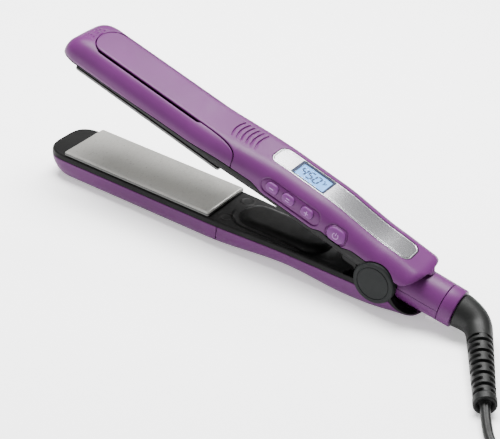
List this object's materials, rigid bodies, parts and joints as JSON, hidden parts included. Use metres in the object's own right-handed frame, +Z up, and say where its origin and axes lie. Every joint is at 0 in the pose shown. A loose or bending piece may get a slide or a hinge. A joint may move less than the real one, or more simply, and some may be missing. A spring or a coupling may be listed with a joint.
{
  "type": "hair straightener",
  "caption": "Flat iron with two sprung arms on a hinge, floating heated plates, a handle with a display and press buttons, and a cord on a swivel.",
  "frame": {"origin": "on the surface it lies on, under the middle of the box round the two arms and the barrel", "axes": "+Z up, +X along the lower arm from the tip to the cord, -Y the side with the press buttons"},
  "size_m": [0.4389, 0.1101, 0.0985],
  "materials": {
    "purple_plastic": "satin moulded plastic with a soft sheen",
    "button_plastic": "satin moulded plastic",
    "black_plastic": "fine-textured heat-resistant plastic",
    "charcoal_plastic": "matt moulded plastic",
    "ceramic_plate": "aluminium with a smooth grey ceramic coat",
    "silver_panel": "brushed satin",
    "display_window": "clear window over a blue back-lit display",
    "display_part": "display body",
    "board": "circuit board",
    "heater": "ceramic heater in a metal sleeve",
    "steel": "plain steel",
    "cord_rubber": "moulded rubber"
  },
  "bodies": {
    "lower_arm": {"lower_front_cover": "purple_plastic", "lower_rear_cover": "purple_plastic", "lower_inner_frame": "black_plastic", "lower_plate_holder": "black_plastic", "lower_leaf_spring_front": "steel", "lower_leaf_spring_rear": "steel", "lower_screw_a": "steel", "lower_screw_b": "steel", "cover_screw_a": "steel", "cover_screw_b": "steel", "hinge_pin": "steel", "hinge_cap_near": "charcoal_plastic", "hinge_cap_far": "charcoal_plastic", "torsion_spring": "steel", "barrel_upper": "purple_plastic", "barrel_lower": "purple_plastic", "barrel_collar": "purple_plastic"},
    "lower_plate_unit": {"lower_plate": "ceramic_plate", "lower_heater": "heater", "lower_thermistor": "black_plastic"},
    "upper_arm": {"upper_front_cover": "purple_plastic", "upper_rear_cover": "purple_plastic", "upper_inner_frame": "black_plastic", "upper_plate_holder": "black_plastic", "upper_leaf_spring_front": "steel", "upper_leaf_spring_rear": "steel", "upper_screw_a": "steel", "upper_screw_b": "steel", "control_panel": "silver_panel", "display_lens": "display_window", "display_module": "display_part", "main_board": "board"},
    "upper_plate_unit": {"upper_plate": "ceramic_plate", "upper_heater": "heater", "upper_thermistor": "black_plastic"},
    "minus_button": {"button_minus": "button_plastic"},
    "mode_button": {"button_mode": "button_plastic"},
    "plus_button": {"button_plus": "button_plastic"},
    "power_button": {"button_power": "button_plastic"},
    "cord_swivel": {"swivel_neck": "black_plastic", "swivel_elbow": "cord_rubber", "strain_relief": "cord_rubber", "power_cord": "cord_rubber", "cord_coil": "cord_rubber", "cord_tail": "cord_rubber", "plug_body": "cord_rubber", "plug_blade_a": "steel", "plug_blade_b": "steel"}
  },
  "joints": [
    {"name": "arm_hinge", "type": "hinge", "parent": "lower_arm", "child": "upper_arm", "pos_m": [0.09514, 0, 0.021], "axis": [0, -1, 0], "range_deg": [0, 15.6], "stiffness_Nm_per_rad": 1.2, "springref_deg": -25.78},
    {"name": "lower_plate_float", "type": "slide", "parent": "lower_arm", "child": "lower_plate_unit", "axis": [0, 0, -1], "range_m": [0, 0.0005], "stiffness_N_per_m": 4000, "springref_m": -0.001},
    {"name": "upper_plate_float", "type": "slide", "parent": "upper_arm", "child": "upper_plate_unit", "axis": [0.2689, 0, 0.9632], "range_m": [0, 0.0005], "stiffness_N_per_m": 4000, "springref_m": -0.001},
    {"name": "minus_press", "type": "slide", "parent": "upper_arm", "child": "minus_button", "axis": [0, 1, 0], "range_m": [0, 0.0007], "stiffness_N_per_m": 400, "springref_m": -0.0015},
    {"name": "mode_press", "type": "slide", "parent": "upper_arm", "child": "mode_button", "axis": [0, 1, 0], "range_m": [0, 0.0007], "stiffness_N_per_m": 400, "springref_m": -0.0015},
    {"name": "plus_press", "type": "slide", "parent": "upper_arm", "child": "plus_button", "axis": [0, 1, 0], "range_m": [0, 0.0007], "stiffness_N_per_m": 400, "springref_m": -0.0015},
    {"name": "power_press", "type": "slide", "parent": "upper_arm", "child": "power_button", "axis": [0, 1, 0], "range_m": [0, 0.0007], "stiffness_N_per_m": 400, "springref_m": -0.0015},
    {"name": "cord_swivel_turn", "type": "hinge", "parent": "lower_arm", "child": "cord_swivel", "pos_m": [0.09514, 0, 0.021], "axis": [0.9877, 0, -0.1564], "continuous": true}
  ]
}
